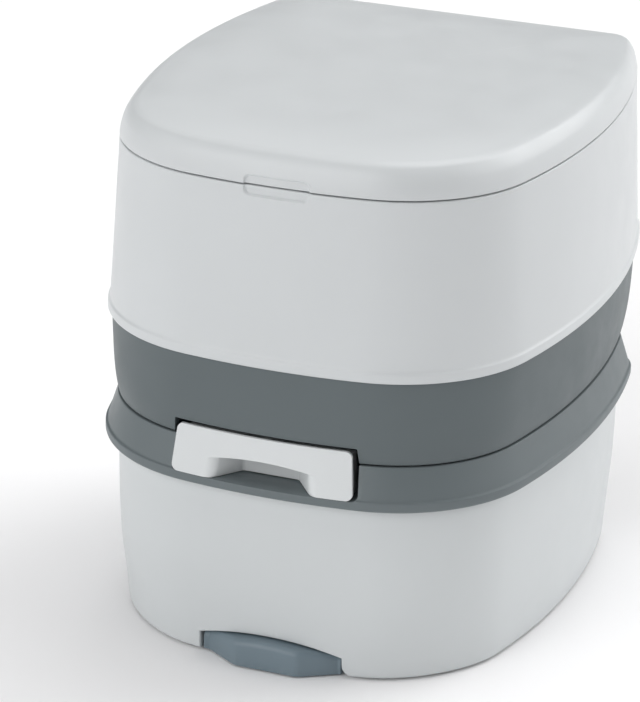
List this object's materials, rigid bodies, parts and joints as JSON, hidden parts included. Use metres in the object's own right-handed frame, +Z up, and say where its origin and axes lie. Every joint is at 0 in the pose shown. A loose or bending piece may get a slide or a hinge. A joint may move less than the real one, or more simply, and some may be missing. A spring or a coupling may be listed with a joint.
{
  "type": "portable camp toilet",
  "caption": "Two-piece portable camp toilet: a seat and flush-water unit on a waste tank with gate valve, pour-out spout and towing handle.",
  "frame": {"origin": "on the floor under the centre of the bounding box", "axes": "+Z up, -Y towards the front with the valve handle, +X to the right seen from the front"},
  "size_m": [0.379, 0.4346, 0.42],
  "materials": {
    "white_shell": "smooth satin-gloss moulded polyethylene",
    "white_tank": "smooth satin-gloss moulded polyethylene",
    "white_handle": "smooth semi-gloss moulding",
    "white_inner": "smooth moulding",
    "grey_shell": "fine satin moulding",
    "grey_fittings": "fine satin moulding",
    "slate_grip": "fine satin moulding",
    "black_fittings": "satin moulding",
    "rubber": "soft moulded rubber",
    "tyre": "soft moulded rubber tread",
    "steel": "stainless"
  },
  "bodies": {
    "tank_unit": {"waste_tank": "white_tank", "tank_collar": "grey_shell", "tank_feet": "rubber", "gate_housing": "grey_fittings", "gate_seal": "rubber", "gate_screws": "steel", "spout_neck": "white_inner", "spout_seal": "rubber", "vent_body": "grey_fittings", "latch_bracket": "grey_fittings", "latch_pin": "steel", "rail_guides": "black_fittings", "wheel_brackets": "black_fittings", "wheel_axles": "steel"},
    "upper_unit": {"upper_shell": "white_shell", "bowl": "white_inner", "outlet_seal": "rubber", "base_skirt": "grey_shell", "hinge_brackets": "white_inner", "hinge_screws": "steel", "hinge_pins": "steel", "filler_neck": "white_inner", "pump_cylinder": "white_inner", "pump_collar": "grey_fittings", "pump_foot_valve": "rubber", "pump_spring": "steel", "flush_hose": "white_inner", "flush_nozzle": "white_inner", "latch_catch": "grey_fittings"},
    "seat": {"seat": "white_inner", "seat_bumpers": "rubber"},
    "lid": {"lid": "white_shell", "lid_bumpers": "rubber"},
    "pump_plunger": {"pump_piston": "white_inner", "pump_seal": "rubber", "pump_rod": "steel", "pump_knob": "grey_fittings"},
    "filler_seal": {"filler_cap_seal": "rubber"},
    "filler_cap": {"filler_cap": "grey_fittings"},
    "gate": {"gate_blade": "white_inner", "valve_handle": "white_handle", "handle_screws": "steel"},
    "spout": {"spout_elbow": "grey_fittings"},
    "spout_cap_seal": {"spout_cap_seal": "rubber"},
    "spout_cap": {"spout_cap": "grey_fittings"},
    "vent_button": {"vent_button": "slate_grip", "vent_seal": "rubber", "vent_spring": "steel"},
    "latch": {"latch_lever": "slate_grip"},
    "trolley_handle": {"handle_rails": "steel", "trolley_grip": "slate_grip"},
    "left_wheel": {"wheel_hub_left": "grey_fittings", "tyre_left": "tyre"},
    "right_wheel": {"wheel_hub_right": "grey_fittings", "tyre_right": "tyre"}
  },
  "joints": [
    {"name": "upper_unit_lift", "type": "slide", "parent": "tank_unit", "child": "upper_unit", "axis": [0, 0, 1], "range_m": [0, 0.05]},
    {"name": "seat_hinge", "type": "hinge", "parent": "upper_unit", "child": "seat", "pos_m": [0, 0.2111, 0.394], "axis": [-1, 0, 0], "range_deg": [0, 92]},
    {"name": "lid_hinge", "type": "hinge", "parent": "seat", "child": "lid", "pos_m": [0, 0.2111, 0.394], "axis": [-1, 0, 0], "range_deg": [0, 98]},
    {"name": "pump_press", "type": "slide", "parent": "upper_unit", "child": "pump_plunger", "axis": [0, 0, -1], "range_m": [0, 0.018], "stiffness_N_per_m": 150, "springref_m": -0.02, "deforming": ["pump_spring"]},
    {"name": "filler_cap_lift", "type": "slide", "parent": "upper_unit", "child": "filler_seal", "axis": [0, 0, 1], "range_m": [0, 0.014]},
    {"name": "filler_cap_turn", "type": "hinge", "parent": "filler_seal", "child": "filler_cap", "pos_m": [0.118, 0.172, 0.375], "axis": [0, 0, 1], "range_deg": [0, 110]},
    {"name": "gate_slide", "type": "slide", "parent": "tank_unit", "child": "gate", "axis": [0, -1, 0], "range_m": [0, 0.108]},
    {"name": "spout_swivel", "type": "hinge", "parent": "tank_unit", "child": "spout", "pos_m": [0.082, 0.16, 0.088], "axis": [0, 1, 0], "range_deg": [0, 90]},
    {"name": "spout_cap_pull", "type": "slide", "parent": "spout", "child": "spout_cap_seal", "axis": [-1, 0, 0], "range_m": [0, 0.012]},
    {"name": "spout_cap_turn", "type": "hinge", "parent": "spout_cap_seal", "child": "spout_cap", "pos_m": [0, 0.1885, 0.088], "axis": [-1, 0, 0], "range_deg": [0, 110]},
    {"name": "vent_press", "type": "slide", "parent": "tank_unit", "child": "vent_button", "axis": [0, -1, 0], "range_m": [0, 0.003], "stiffness_N_per_m": 300, "springref_m": -0.002},
    {"name": "latch_swing", "type": "hinge", "parent": "tank_unit", "child": "latch", "pos_m": [-0.03, 0.164, 0.134], "axis": [-1, 0, 0], "range_deg": [0, 30]},
    {"name": "trolley_pull", "type": "slide", "parent": "tank_unit", "child": "trolley_handle", "axis": [0, -1, 0], "range_m": [0, 0.215]},
    {"name": "left_wheel_spin", "type": "hinge", "parent": "tank_unit", "child": "left_wheel", "pos_m": [-0.104, 0.12, 0.0255], "axis": [1, 0, 0], "continuous": true},
    {"name": "right_wheel_spin", "type": "hinge", "parent": "tank_unit", "child": "right_wheel", "pos_m": [0.104, 0.12, 0.0255], "axis": [1, 0, 0], "continuous": true}
  ]
}
